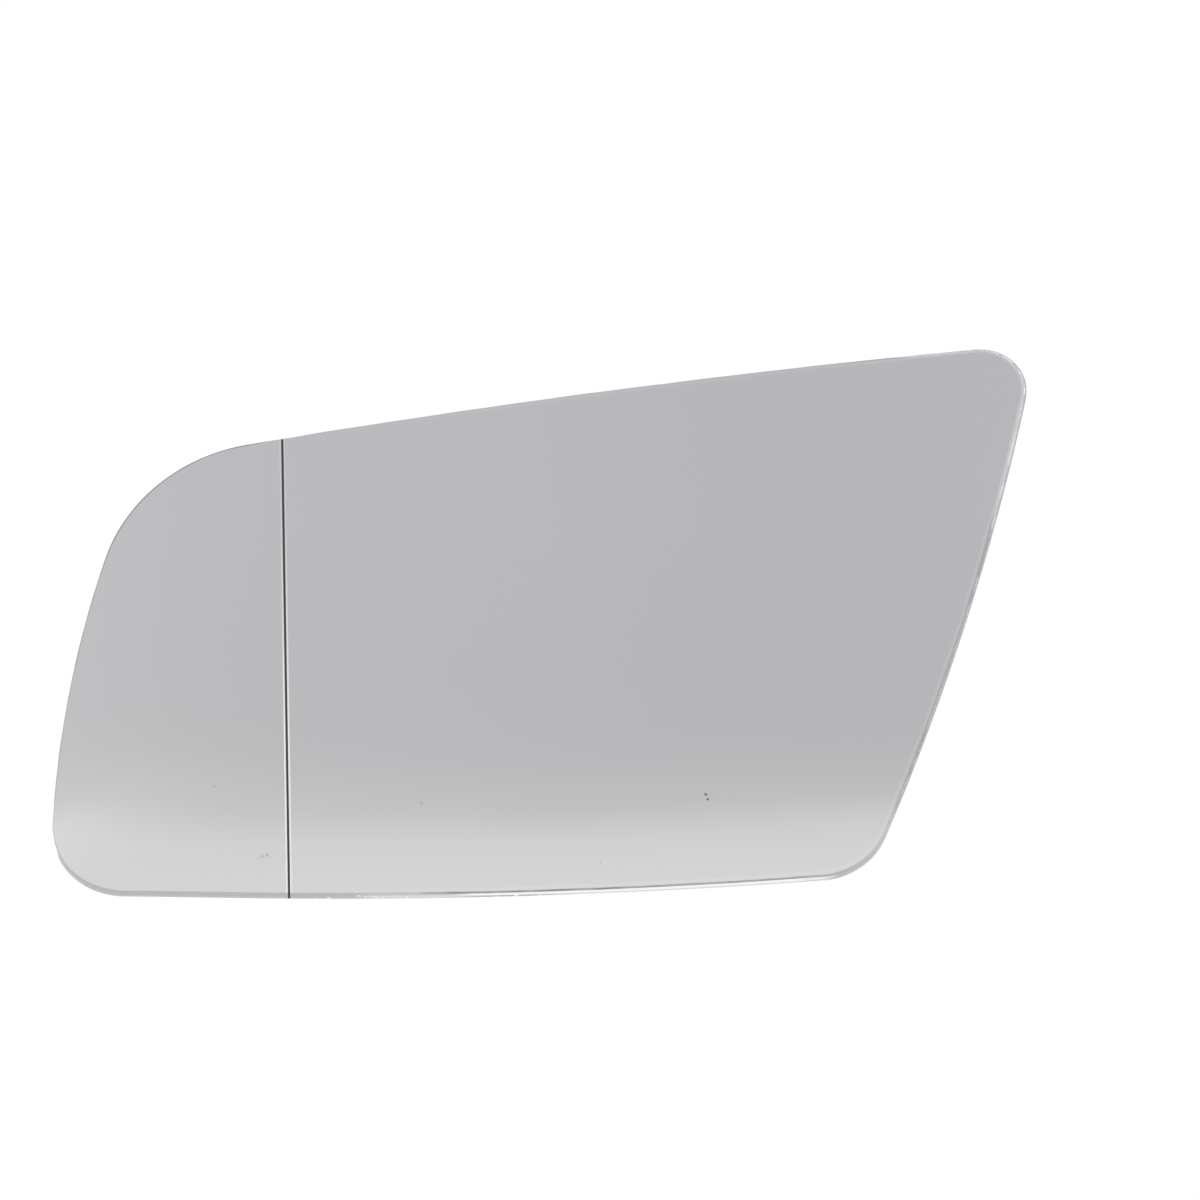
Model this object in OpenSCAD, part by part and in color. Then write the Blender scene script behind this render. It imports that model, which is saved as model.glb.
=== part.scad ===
// Heated wide-angle glass of a car's left door mirror, with its clip-on backing plate.
//
// The mirror stands upright as on the door: X runs along the car's width, with the
// outer end at -X, Z is up, and the mirrored face looks towards -Y.
// The origin is on the axis of the mounting ring, in the plane of the seat inside its rim.

/* [Glass outline] */
// Ring axis to the lower outer corner, sideways
low_outer_x = 84.6; // [78:0.1:100]
// Ring axis down to the lower outer corner
low_outer_z = 50; // [46:0.1:60]
// Ring axis to the lower inner corner, sideways
low_inner_x = 57.6; // [54:0.1:80]
// Ring axis down to the lower inner corner
low_inner_z = 47.8; // [46:0.1:60]
// Ring axis to the upper inner corner, sideways
top_inner_x = 87.3; // [78:0.1:100]
// Ring axis up to the upper inner corner
top_inner_z = 57.8; // [52:0.1:70]
// Ring axis to the upper outer corner, sideways
top_outer_x = 68.8; // [64:0.1:84]
// Ring axis up to the upper outer corner
top_outer_z = 33.3; // [30:0.1:50]
// Radius of the bow in the bottom edge
bottom_bow_r = 740; // [300:10:3000]
// Radius of the bow in the inner side
inner_bow_r = 510; // [200:10:3000]
// Radius of the bow in the top edge
top_bow_r = 3900; // [400:10:9000]
// Radius of the bow in the outer side
outer_bow_r = 210; // [150:10:3000]
// Radius of the lower outer corner
low_outer_r = 13.5; // [8:0.1:24]
// Radius of the lower inner corner
low_inner_r = 13.4; // [8:0.1:24]
// Radius of the upper inner corner
top_inner_r = 7.9; // [6:0.1:20]
// Radius of the upper outer corner
top_outer_r = 31.5; // [20:0.1:40]

/* [Glass] */
// Thickness of the glass
glass_t = 2; // [1.6:0.1:3]
// Radius of the mirror's bulge
bulge_r = 1400; // [900:10:2400]
// Ring axis to the line where the wide-angle zone begins
zone_x = 44; // [30:0.5:60]
// How far the outer end falls back beyond the bulge
zone_drop = 1.5; // [0.2:0.1:3]
// Lean of the zone's dividing line from upright
zone_lean = 0.95; // [0:0.05:3]
// Width of the dividing line
zone_line_w = 0.35; // [0.2:0.05:1]
// Depth to which the dividing line is engraved
zone_line_d = 0.08; // [0.04:0.01:0.2]

/* [Heater] */
// Thickness of the heating film
film_t = 0.4; // [0.2:0.05:0.8]
// Thickness of the conductor on the film
track_t = 0.12; // [0.08:0.01:0.3]
// Width of the conductor
track_w = 1.1; // [0.6:0.1:1.4]
// Distance from one conductor run to the next
track_pitch = 2.3; // [2:0.1:4]
// Slope of the long runs
track_lean = 7; // [0:0.5:10]
// Distance from the long runs' turns to the first upright run
run_clear = 3.2; // [2.4:0.1:6]
// Upright runs in the outer zone, an odd number
side_runs = 7; // [3:2:7]
// Ring axis up to the top of the upright runs
side_top_z = 17; // [8:0.5:18]
// Ring axis down to the gap that parts the lower runs from the upper
side_split_z = 15.5; // [10:0.5:20]
// Distance between lower and upper runs over that gap
side_split_gap = 3; // [2:0.1:5]

/* [Terminals] */
// Width of a blade terminal
blade_w = 4.8; // [2.8:0.1:6.3]
// Thickness of a blade terminal
blade_t = 0.5; // [0.4:0.1:0.8]
// Height of a blade above the film
blade_h = 7; // [5:0.5:9]
// Length of a blade's foot along the film
foot_l = 6; // [5:0.5:8]
// Distance between the two blades
blade_gap = 9; // [8:0.5:12]
// Chamfer at a blade's tip
blade_chamfer = 0.9; // [0.3:0.1:1.2]
// Diameter of the latching hole in a blade
blade_hole_d = 1.4; // [1:0.1:1.6]
// Blade tip to the middle of that hole
blade_hole_at = 2.6; // [2.2:0.1:3]
// Diameter of a rivet's shank
rivet_d = 1.8; // [1.2:0.1:2.4]
// Diameter of a rivet's head
rivet_head_d = 3.4; // [2.6:0.1:4]
// Height of a rivet's head
rivet_head_t = 0.6; // [0.3:0.1:1]

/* [Backing plate] */
// Thickness of the plate
plate_t = 2; // [1.6:0.1:3]
// How far the glass overhangs the plate all round
plate_inset = 2; // [1:0.1:3]
// Height of the step that runs round the plate's back edge
shoulder_h = 0.8; // [0.4:0.1:1.2]
// Width of that step
shoulder_w = 0.7; // [0.3:0.1:1.5]
// Width of the rim that carries the plate on the glass
rim_w = 1.6; // [1:0.1:2.4]
// Clearance between that rim and the film's edge
film_gap = 0.2; // [0.1:0.05:0.5]
// Clearance between the conductor and the plate
track_gap = 0.08; // [0.05:0.01:0.2]

/* [Mounting ring] */
// Radius of the bore that takes the adjuster's boss
ring_bore_r = 35.8; // [34:0.1:36.4]
// Thickness of the ring's wall at its foot
ring_wall_t = 2.9; // [2.6:0.1:3.4]
// Height of the ring's rim over the plate at the axis
ring_h = 2.5; // [1.8:0.1:4]
// Width of the seat step inside the rim
seat_w = 1; // [0.6:0.1:1.4]
// Depth of the seat step below the rim
seat_d = 0.5; // [0.3:0.1:1]
// Sets of clips round the ring
clip_sets = 3; // [2:1:3]
// Direction of the first wide clip from the ring axis
clip_at = 68; // [60:1:76]
// Directions of the two fingers after it
finger_at = [58, 43]; // [20:1:60]
// Directions of the two ribs before it
rib_at = [127, 136]; // [110:1:150]
// Width of a wide clip along the ring
clip_w = 4.6; // [3:0.1:8]
// Thickness of clips and fingers
clip_t = 1.5; // [1:0.1:1.6]
// How far clips and fingers stand back from the seat step's wall
clip_back = 0.2; // [0.1:0.05:0.3]
// Height of a wide clip over the rim
clip_h = 5; // [3:0.1:8]
// Reach of a clip's hook towards the axis
hook_reach = 0.9; // [0.5:0.1:1.1]
// Height of a clip's hook
hook_h = 2; // [1.2:0.1:2.6]
// Width of a finger along the ring
finger_w = 1.6; // [1:0.1:2.4]
// Height of a finger over the rim
finger_h = 4.2; // [3:0.1:6]
// Thickness of a rib
rib_t = 1.2; // [0.8:0.1:2]
// Reach of a rib outside the ring
rib_reach = 3.6; // [2:0.1:4]
// Height of a rib's outer end over the plate at the axis
rib_foot = 1; // [0.8:0.1:1.6]
// How far the ribs stop below the rim
rib_drop = 0.3; // [0.2:0.1:0.6]

/* [Web inside the ring] */
// Radius of the hub
hub_r = 19; // [15:0.5:22]
// Width of a spoke
spoke_w = 9.7; // [6:0.1:12]
// Radius of the blend from spoke to hub
hub_blend_r = 20; // [4:0.5:24]
// Land between the windows and the bore
ring_land = 0.4; // [0.2:0.1:1]
// Ring axis to the far side of a wide window
wide_window_x = 30; // [26:0.5:32]
// Ring axis to the far side of a narrow window
narrow_window_x = 23.4; // [20:0.1:28]
// Half the height of the bar between the upper and lower windows
bar_half = 6; // [4:0.5:10]
// Radius of the windows' corners
window_r = 1.5; // [0.6:0.1:2]

/* [Side windows] */
// Land between the ring and a side window
side_land = 4; // [3:0.1:6]
// Width of the outer side window at its top
outer_window_w = 15; // [10:0.5:18]
// How much narrower that window is at its foot
outer_window_taper = 4.5; // [0:0.5:6]
// Ring axis up to the top of the outer side window
outer_window_top = 0; // [-6:0.5:6]
// Height of the outer side window
outer_window_h = 27; // [16:0.5:30]
// Width of the terminals' window
inner_window_w = 12.8; // [11:0.1:16]
// Ring axis up to the top of the terminals' window
inner_window_top = 19.5; // [12:0.5:24]
// Height of the terminals' window
inner_window_h = 28; // [26:0.5:32]

/* [Moulding marks] */
// Diameter of the ejector marks
mark_d = 3.8; // [2:0.1:5]
// Depth of the ejector marks
mark_depth = 0.12; // [0.05:0.01:0.3]
// Ring rim to the row of marks outside it
mark_off = 5.8; // [4:0.1:8]
// Directions of those marks
mark_at = [67, 51, 35]; // [20:1:80]

/* [Hidden] */
$fn = 96;
// Fineness of the shallow bulge, of which only a few degrees are used
bulge_fn = 1440;
bands = 16;
corner_steps = 8;
edge_steps = 8;
turn_steps = 6;
overcut = 1;

// The layers, as depths behind the middle of the mirrored face
film_front = glass_t;
film_back = film_front + film_t;
track_back = film_back + track_t;
plate_front = track_back + track_gap;
plate_back = plate_front + plate_t;
rim_y = seat_d;
plate_y = rim_y - ring_h;
ring_r = ring_bore_r + ring_wall_t;
face_y = plate_y - plate_back;

// The outline's corners and sides, anticlockwise from the lower outer corner
corners = [[-low_outer_x, -low_outer_z], [low_inner_x, -low_inner_z],
           [top_inner_x, top_inner_z], [-top_outer_x, top_outer_z]];
corner_radii = [low_outer_r, low_inner_r, top_inner_r, top_outer_r];
bows = [bottom_bow_r, inner_bow_r, top_bow_r, outer_bow_r];

function before(i) = (i + 3) % 4;
function after(i) = (i + 1) % 4;
function heading(v) = atan2(v[1], v[0]);
function onwards(from, to) = to < from ? to + 360 : to;
function around(centre, r, angle) = centre + r * [cos(angle), sin(angle)];
function sweep_arc(centre, r, from, to, steps) =
    [for (i = [0:steps]) around(centre, r, from + (to - from) * i / steps)];

// Centre of the side that bows outwards from p to q
function bow_centre(p, q, r) =
    let (d = q - p, l = norm(d)) (p + q) / 2 + [-d[1], d[0]] / l * sqrt(r * r - l * l / 4);
// The crossing of two circles that lies nearer to a point
function crossing(c1, r1, c2, r2, near) =
    let (d = c2 - c1, l = norm(d), a = (r1 * r1 - r2 * r2 + l * l) / (2 * l),
         h = [-d[1], d[0]] / l * sqrt(max(0, r1 * r1 - a * a)), m = c1 + d * a / l)
    norm(m + h - near) < norm(m - h - near) ? m + h : m - h;

side_centres = [for (i = [0:3]) bow_centre(corners[i], corners[after(i)], bows[i])];
// Each corner's arc touches both sides that meet there
corner_centres = [for (i = [0:3])
    crossing(side_centres[before(i)], bows[before(i)] - corner_radii[i],
             side_centres[i], bows[i] - corner_radii[i], corners[i])];
corner_from = [for (i = [0:3]) heading(corner_centres[i] - side_centres[before(i)])];
corner_to = [for (i = [0:3]) heading(corner_centres[i] - side_centres[i])];

// The glass outline, or the line that runs inside it at an even distance
function outline(inset) = [for (i = [0:3]) each concat(
    sweep_arc(corner_centres[i], corner_radii[i] - inset, corner_from[i],
              onwards(corner_from[i], corner_to[i]), corner_steps),
    [for (k = [1:edge_steps - 1])
        let (from = corner_to[i], to = onwards(from, corner_from[after(i)]))
        around(side_centres[i], bows[i] - inset, from + (to - from) * k / edge_steps)])];

// How far the mirrored face has fallen back at x, with the wide-angle zone's cubic beyond its line
function fall(x) = x * x / (2 * bulge_r)
    + zone_drop * pow(max(0, -zone_x - x) / (low_outer_x - zone_x), 3);
function slope(x) = atan(x / bulge_r);

side_reach = max(low_outer_x, top_inner_x) + overcut;
height_reach = max(low_outer_z, low_inner_z, top_inner_z, top_outer_z) + overcut;
swing = asin(height_reach / (bulge_r - plate_back - fall(-side_reach)));
function fall_line(depth) = [for (i = [0:bands])
    let (x = side_reach * (2 * i / bands - 1)) [bulge_r - depth - fall(x), x]];
function reversed(list) = [for (i = [len(list) - 1:-1:0]) list[i]];

// A bulged sheet between two depths behind the mirrored face
module sheet(front, back)
    translate([0, face_y + bulge_r, 0]) rotate([0, 90, 0]) rotate([0, 0, -90 - swing])
        rotate_extrude(angle = 2 * swing, $fn = bulge_fn)
            polygon(concat(fall_line(front), reversed(fall_line(back))));

// Carries a shape drawn in the X and Z plane through every layer
module through_all() {
    half = plate_back + fall(-side_reach) + height_reach * height_reach / bulge_r + ring_h + clip_h;
    rotate([90, 0, 0]) linear_extrude(2 * half, center = true) children();
}

// Places a flat piece on the bulge, with its own Y pointing back
module seated(x, z, depth)
    translate([x, face_y + depth + fall(x) + z * z / (2 * bulge_r), z])
        rotate([-slope(z), 0, 0]) rotate([0, 0, slope(x)]) children();

// Turns a piece drawn along X to a direction from the ring axis
module towards(angle) rotate([0, -angle, 0]) children();

// A cylinder that runs back from y, on an axis through the point at x and z
module disc(r, y, h, x = 0, z = 0)
    translate([x, y, z]) rotate([-90, 0, 0]) cylinder(r = r, h = h);

module zone_line() intersection() {
    sheet(-overcut, zone_line_d);
    through_all() translate([-zone_x, 0]) rotate(zone_lean)
        square([zone_line_w, 2 * height_reach], center = true);
}

module mirror_glass() color([0.72, 0.72, 0.75]) difference() {
    intersection() {
        sheet(0, film_front);
        through_all() polygon(outline(0));
    }
    zone_line();
}

// Rivet positions, one above the other in the terminals' window
terminal_x = ring_r + side_land + inner_window_w / 2;
terminal_z = inner_window_top - inner_window_h / 2;
blade_z = [terminal_z + blade_gap / 2, terminal_z - blade_gap / 2];

module rivet_holes() for (z = blade_z)
    seated(terminal_x, z, film_front) disc(rivet_d / 2, -overcut, track_back - film_front + 2 * overcut);

module heater_film() color([0.8, 0.81, 0.79]) difference() {
    intersection() {
        sheet(film_front, film_back);
        through_all() polygon(outline(plate_inset + rim_w + film_gap));
    }
    rivet_holes();
}

// Height of the straight line from p to q at x
function height_at(p, q, x) = p[1] + (q[1] - p[1]) * (x - p[0]) / (q[0] - p[0]);
// The conductor's lines stay a pitch inside the film's edge
edge_margin = plate_inset + rim_w + film_gap + track_pitch;
run_half = ring_r + side_land - run_clear;
lean_rise = run_half * tan(track_lean);
runs_top = height_at(corners[3], corners[2], -run_half) - edge_margin - track_pitch + lean_rise;
runs_bottom = max(height_at(corners[0], corners[1], -run_half) + lean_rise,
                  height_at(corners[0], corners[1], run_half) - lean_rise) + edge_margin;
// An odd number of long runs ends at the outer zone
long_runs = 2 * floor((runs_top - runs_bottom) / track_pitch / 2) - 1;
function leaning(p) = [p[0], p[1] + p[0] * tan(track_lean)];
// A half turn to the next run, away from p across and onwards by one pitch
function half_turn(p, across, onward) = [for (k = [1:turn_steps - 1])
    let (a = 180 * k / turn_steps) p + track_pitch / 2 * (across * sin(a) + onward * (1 - cos(a)))];

// The long runs from the top down, first outwards
long_path = [for (i = [0:long_runs - 1])
    let (z = runs_top - (i + 0.5) * track_pitch, side = i % 2 == 0 ? -1 : 1, end = [side * run_half, z])
    each [for (p = concat([[-side * run_half, z], end],
                          i < long_runs - 1 ? half_turn(end, [side, 0], [0, -1]) : [])) leaning(p)]];

// The upright runs: outwards below the split, up the outermost run, and back above the split
function side_x(i) = -(ring_r + side_land + track_pitch * (i + 0.5));
last_run = long_path[len(long_path) - 1];
side_foot = last_run[1] + track_pitch;
lower_top = -side_split_z - (side_split_gap + track_pitch) / 2;
upper_foot = -side_split_z + (side_split_gap + track_pitch) / 2;
outermost = side_x(side_runs - 1);
function side_half(i, foot, top, onward) =
    let (x = side_x(i), up = i % 2 == 0, end = [x, up ? top : foot])
    concat([[x, up ? foot : top], end], half_turn(end, [0, up ? 1 : -1], onward));
side_path = concat(
    [for (i = [0:side_runs - 2]) each side_half(i, side_foot, lower_top, [-1, 0])],
    [[outermost, side_foot]],
    [for (i = [side_runs - 1:-1:1])
        each side_half(i, i == side_runs - 1 ? lower_top : upper_foot, side_top_z, [1, 0])],
    [[side_x(0), upper_foot]]);

// From each blade a lead joins its end of the conductor; the longer one passes over the long runs
lead_x = terminal_x + foot_l / 2;
return_x = lead_x + track_pitch;
return_z = runs_top + track_pitch / 2;
start_path = [[terminal_x, blade_z[0]], [lead_x, blade_z[0]], [lead_x, long_path[0][1]]];
return_path = [leaning([side_x(0), return_z]), leaning([return_x, return_z]),
               [return_x, blade_z[1]], [terminal_x, blade_z[1]]];
track_path = concat(start_path, long_path, side_path, return_path);

// A band of even width along a path, with its corners mitred
function unit(v) = v / norm(v);
function left_of(v) = [-v[1], v[0]];
function mitre(path, i) =
    let (n = len(path), a = left_of(unit(path[max(i, 1)] - path[max(i, 1) - 1])),
         b = left_of(unit(path[min(i, n - 2) + 1] - path[min(i, n - 2)])), m = unit(a + b))
    m / max(0.5, m * b);
function band(path, w) = concat(
    [for (i = [0:len(path) - 1]) path[i] - mitre(path, i) * w / 2],
    [for (i = [len(path) - 1:-1:0]) path[i] + mitre(path, i) * w / 2]);

module heater_track() color([0.92, 0.92, 0.9]) difference() {
    intersection() {
        sheet(film_back, track_back);
        through_all() polygon(band(track_path, track_w));
    }
    rivet_holes();
}

// The upright blade, drawn along Z and Y with chamfered corners at its tip
module blade() rotate([0, -90, 0]) linear_extrude(blade_t, center = true) difference() {
    polygon([[-blade_w / 2, 0], [blade_w / 2, 0], [blade_w / 2, blade_h - blade_chamfer],
             [blade_w / 2 - blade_chamfer, blade_h], [blade_chamfer - blade_w / 2, blade_h],
             [-blade_w / 2, blade_h - blade_chamfer]]);
    translate([0, blade_h - blade_hole_at]) circle(r = blade_hole_d / 2);
}

module terminal(z) seated(terminal_x, z, film_front) translate([0, track_back - film_front, 0]) {
    difference() {
        translate([-foot_l / 2, 0, -blade_w / 2]) cube([foot_l, blade_t, blade_w]);
        disc(rivet_d / 2, -overcut, blade_t + 2 * overcut);
    }
    translate([(blade_t - foot_l) / 2, 0, 0]) blade();
}

module terminal_upper() color([0.78, 0.72, 0.5]) terminal(blade_z[0]);
module terminal_lower() color([0.78, 0.72, 0.5]) terminal(blade_z[1]);

module rivet(z) seated(terminal_x, z, film_front) {
    disc(rivet_d / 2, 0, track_back - film_front + blade_t);
    disc(rivet_head_d / 2, track_back - film_front + blade_t, rivet_head_t);
}

module rivet_upper() color([0.7, 0.7, 0.68]) rivet(blade_z[0]);
module rivet_lower() color([0.7, 0.7, 0.68]) rivet(blade_z[1]);

seat_r = ring_bore_r + seat_w;

// The plate itself: a tray over the film, with a rim on the glass and a stepped back edge
module plate_tray() {
    intersection() {
        sheet(film_front, plate_front);
        through_all() difference() {
            polygon(outline(plate_inset));
            polygon(outline(plate_inset + rim_w));
        }
    }
    intersection() {
        sheet(plate_front, plate_back - shoulder_h);
        through_all() polygon(outline(plate_inset));
    }
    intersection() {
        sheet(plate_back - shoulder_h, plate_back);
        through_all() polygon(outline(plate_inset + shoulder_w));
    }
}

// The ring's wall, rooted half way into the plate, with the seat step inside its rim
root_y = plate_y - plate_t / 2;
module ring_wall() rotate([-90, 0, 0]) rotate_extrude()
    polygon([[ring_bore_r, root_y], [ring_r, root_y], [ring_r, rim_y], [seat_r, rim_y],
             [seat_r, 0], [ring_bore_r, 0]]);

// A stretch of the ring, turned from a profile of radius and height
module ring_piece(angle, w) {
    half = w / ring_r * 90 / PI;
    rotate([-90, 0, 0]) rotate([0, 0, -angle - half]) rotate_extrude(angle = 2 * half) children();
}

// A hooked clip that snaps over the adjuster's disc
clip_in = seat_r + clip_back;
clip_mid = clip_in + clip_t / 2;
clip_top = rim_y + clip_h;
module clip(angle) ring_piece(angle, clip_w)
    polygon([[clip_in, 0], [clip_in + clip_t, 0], [clip_in + clip_t, clip_top], [clip_in, clip_top],
             [clip_in - hook_reach, clip_top - hook_h / 2], [clip_in, clip_top - hook_h]]);

// A narrow finger with a round end
module finger(angle) towards(angle) translate([clip_in, 0, -finger_w / 2]) {
    cube([clip_t, rim_y + finger_h, finger_w]);
    translate([clip_t / 2, rim_y + finger_h, 0]) cylinder(r = clip_t / 2, h = finger_w);
}

// A rib that props the ring from outside
module rib(angle) towards(angle) translate([0, 0, -rib_t / 2]) linear_extrude(rib_t)
    polygon([[clip_mid, root_y], [ring_r + rib_reach, root_y],
             [ring_r + rib_reach, plate_y + rib_foot], [clip_mid, rim_y - rib_drop]]);

module clips() for (k = [0:clip_sets - 1]) {
    clip(clip_at + k * 360 / clip_sets);
    rib(clip_at + k * 360 / clip_sets);
    for (a = finger_at) {
        finger(a + k * 360 / clip_sets);
        rib(a + k * 360 / clip_sets);
    }
    for (a = rib_at) rib(a + k * 360 / clip_sets);
}

// The hub and its two spokes, blended into each other; each spoke stands beside the axis
module hub_and_spokes() offset(r = -hub_blend_r) offset(delta = hub_blend_r) {
    circle(r = hub_r);
    for (half = [0, 180]) rotate(half) translate([-spoke_w, 0]) square([spoke_w, ring_r]);
}

// Above the bar a wide window inboard of the spoke and a narrow one outboard, and the same turned below
module ring_windows() difference() {
    intersection() {
        circle(r = ring_bore_r - ring_land);
        for (half = [0, 180]) rotate(half) translate([-narrow_window_x, bar_half])
            square([narrow_window_x + wide_window_x, ring_r]);
    }
    hub_and_spokes();
}

side_window_x = ring_r + side_land;
module outer_window() polygon([
    [-side_window_x, outer_window_top], [-side_window_x - outer_window_w, outer_window_top],
    [-side_window_x - outer_window_w + outer_window_taper, outer_window_top - outer_window_h],
    [-side_window_x, outer_window_top - outer_window_h]]);
module inner_window() translate([side_window_x, inner_window_top - inner_window_h])
    square([inner_window_w, inner_window_h]);

module windows() offset(r = window_r, $fn = 32) offset(delta = -window_r) {
    ring_windows();
    outer_window();
    inner_window();
}

module ejector_mark(x, z) disc(mark_d / 2, plate_y + fall(x) + z * z / (2 * bulge_r) - mark_depth,
                               ring_h / 2, x, z);

module ejector_marks() {
    for (a = mark_at, half = [0, 180])
        ejector_mark((ring_r + mark_off) * cos(a + half), (ring_r + mark_off) * sin(a + half));
    for (side = [-1, 1])
        ejector_mark(side * spoke_w / 2, -side * (hub_r + ring_bore_r) / 2);
}

module backing_plate() color([0.16, 0.17, 0.18]) {
    difference() {
        union() {
            plate_tray();
            ring_wall();
            clips();
        }
        through_all() windows();
        ejector_marks();
    }
}

mirror_glass();
heater_film();
heater_track();
terminal_upper();
terminal_lower();
rivet_upper();
rivet_lower();
backing_plate();
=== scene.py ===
"""A heated wide-angle glass for a car's door mirror, dressed and lit as a product picture.

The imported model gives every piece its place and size. The glass is made again as one
smooth pane, the plate gets softened edges, and the rest keeps its solids and gets its finish.
"""

import math

import bpy
import numpy as np
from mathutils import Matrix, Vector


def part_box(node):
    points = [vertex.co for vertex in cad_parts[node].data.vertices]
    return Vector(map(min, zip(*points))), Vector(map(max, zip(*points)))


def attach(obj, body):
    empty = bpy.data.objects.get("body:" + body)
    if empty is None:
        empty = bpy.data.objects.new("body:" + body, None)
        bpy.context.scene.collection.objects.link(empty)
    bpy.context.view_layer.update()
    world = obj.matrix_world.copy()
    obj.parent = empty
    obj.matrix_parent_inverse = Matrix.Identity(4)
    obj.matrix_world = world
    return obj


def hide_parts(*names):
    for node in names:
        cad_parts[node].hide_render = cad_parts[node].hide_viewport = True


bl_info = {
    "name": "Door mirror glass",
    "version": (1, 0, 0),
    "blender": (4, 5, 0),
    "location": "View3D > Sidebar > Mirror glass",
    "description": "Makes the pane, finishes the backing plate and heater, and sets the studio",
    "category": "Object",
}

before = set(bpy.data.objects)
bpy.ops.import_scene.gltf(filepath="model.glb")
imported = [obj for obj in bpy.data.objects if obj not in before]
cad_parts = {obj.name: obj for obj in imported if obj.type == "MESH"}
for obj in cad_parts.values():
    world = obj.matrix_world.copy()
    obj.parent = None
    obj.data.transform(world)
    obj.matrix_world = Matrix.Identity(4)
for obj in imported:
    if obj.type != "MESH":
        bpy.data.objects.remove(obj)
MM = 0.001
WHITE = (1, 1, 1, 1)
FACE_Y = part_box("mirror_glass")[0].y


# Sizes and colours that a user would change

class PaneSettings(bpy.types.PropertyGroup):
    """Shape and finish of the glass. The corners run anticlockwise from the lower outer one."""
    corners_x: bpy.props.FloatVectorProperty(
        name="Corners across", description="Where the bowed sides would cross, along X",
        size=4, default=(-0.0846, 0.0576, 0.0873, -0.0688), unit="LENGTH")
    corners_z: bpy.props.FloatVectorProperty(
        name="Corners up", description="Where the bowed sides would cross, along Z",
        size=4, default=(-0.05, -0.0478, 0.0578, 0.0333), unit="LENGTH")
    bows: bpy.props.FloatVectorProperty(
        name="Bows", description="Radii of the bottom, the inner side, the top and the outer side",
        size=4, default=(0.74, 0.51, 3.9, 0.21), unit="LENGTH")
    rounds: bpy.props.FloatVectorProperty(
        name="Corner radii", description="Radii of the four corners",
        size=4, default=(0.0135, 0.0134, 0.0079, 0.0315), unit="LENGTH")
    thickness: bpy.props.FloatProperty(
        name="Thickness", description="Thickness of the glass", default=0.002, unit="LENGTH")
    bulge: bpy.props.FloatProperty(
        name="Bulge radius", description="Radius of the mirror's bulge", default=1.4, unit="LENGTH")
    zone_x: bpy.props.FloatProperty(
        name="Zone line", description="Ring axis to the wide-angle zone's line",
        default=0.044, unit="LENGTH")
    zone_drop: bpy.props.FloatProperty(
        name="Zone drop", description="How far the outer end falls back beyond the bulge",
        default=0.0015, unit="LENGTH")
    zone_lean: bpy.props.FloatProperty(
        name="Line lean", description="Lean of the zone's line from upright",
        default=math.radians(0.95), subtype="ANGLE")
    line_width: bpy.props.FloatProperty(
        name="Line width", description="Width of the engraved line", default=0.0004, unit="LENGTH")
    arris: bpy.props.FloatProperty(
        name="Arris", description="Width of the ground arris round both faces",
        default=0.00024, unit="LENGTH")
    keep_in: bpy.props.FloatProperty(
        name="Keep in", description="How far the finished edge stays inside the solid's",
        default=0.000045, unit="LENGTH")
    mirror: bpy.props.FloatVectorProperty(
        name="Mirror", description="Colour of the mirror coating", subtype="COLOR",
        size=3, default=(0.67, 0.672, 0.678))
    glass: bpy.props.FloatVectorProperty(
        name="Glass edge", description="Colour of the glass seen from its edge", subtype="COLOR",
        size=3, default=(0.36, 0.58, 0.63))
    # The two arris colours are painted light: the shaded one is painted shade, the pale one a
    # painted highlight
    arris_painted_shade: bpy.props.FloatVectorProperty(
        name="Shaded arris", description="Colour of the arris along the bottom and the top",
        subtype="COLOR", size=3, default=(0.5, 0.52, 0.5))
    arris_painted_light: bpy.props.FloatVectorProperty(
        name="Pale arris", description="Colour of the arris on the inner side",
        subtype="COLOR", size=3, default=(0.6, 0.61, 0.58))
    back: bpy.props.FloatVectorProperty(
        name="Back coat", description="Colour of the coating on the back", subtype="COLOR",
        size=3, default=(0.46, 0.48, 0.49))


class BackSettings(bpy.types.PropertyGroup):
    """Finish of what lies behind the glass."""
    plastic: bpy.props.FloatVectorProperty(
        name="Plastic", description="Colour of the moulding", subtype="COLOR",
        size=3, default=(0.0072, 0.008, 0.0083))
    soften: bpy.props.FloatProperty(
        name="Edge radius", description="Radius of the moulding's edges",
        default=0.0002, unit="LENGTH")
    grain: bpy.props.FloatProperty(
        name="Grain", description="Size of the moulding's grain",
        default=0.00035, unit="LENGTH")
    film: bpy.props.FloatVectorProperty(
        name="Film", description="Colour of the heating film", subtype="COLOR",
        size=3, default=(0.6, 0.61, 0.575))
    conductor: bpy.props.FloatVectorProperty(
        name="Conductor", description="Colour of the printed conductor", subtype="COLOR",
        size=3, default=(0.87, 0.875, 0.825))
    brass: bpy.props.FloatVectorProperty(
        name="Terminals", description="Colour of the tinned brass", subtype="COLOR",
        size=3, default=(0.66, 0.6, 0.44))
    rivet: bpy.props.FloatVectorProperty(
        name="Rivets", description="Colour of the rivets", subtype="COLOR",
        size=3, default=(0.62, 0.62, 0.61))


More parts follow.
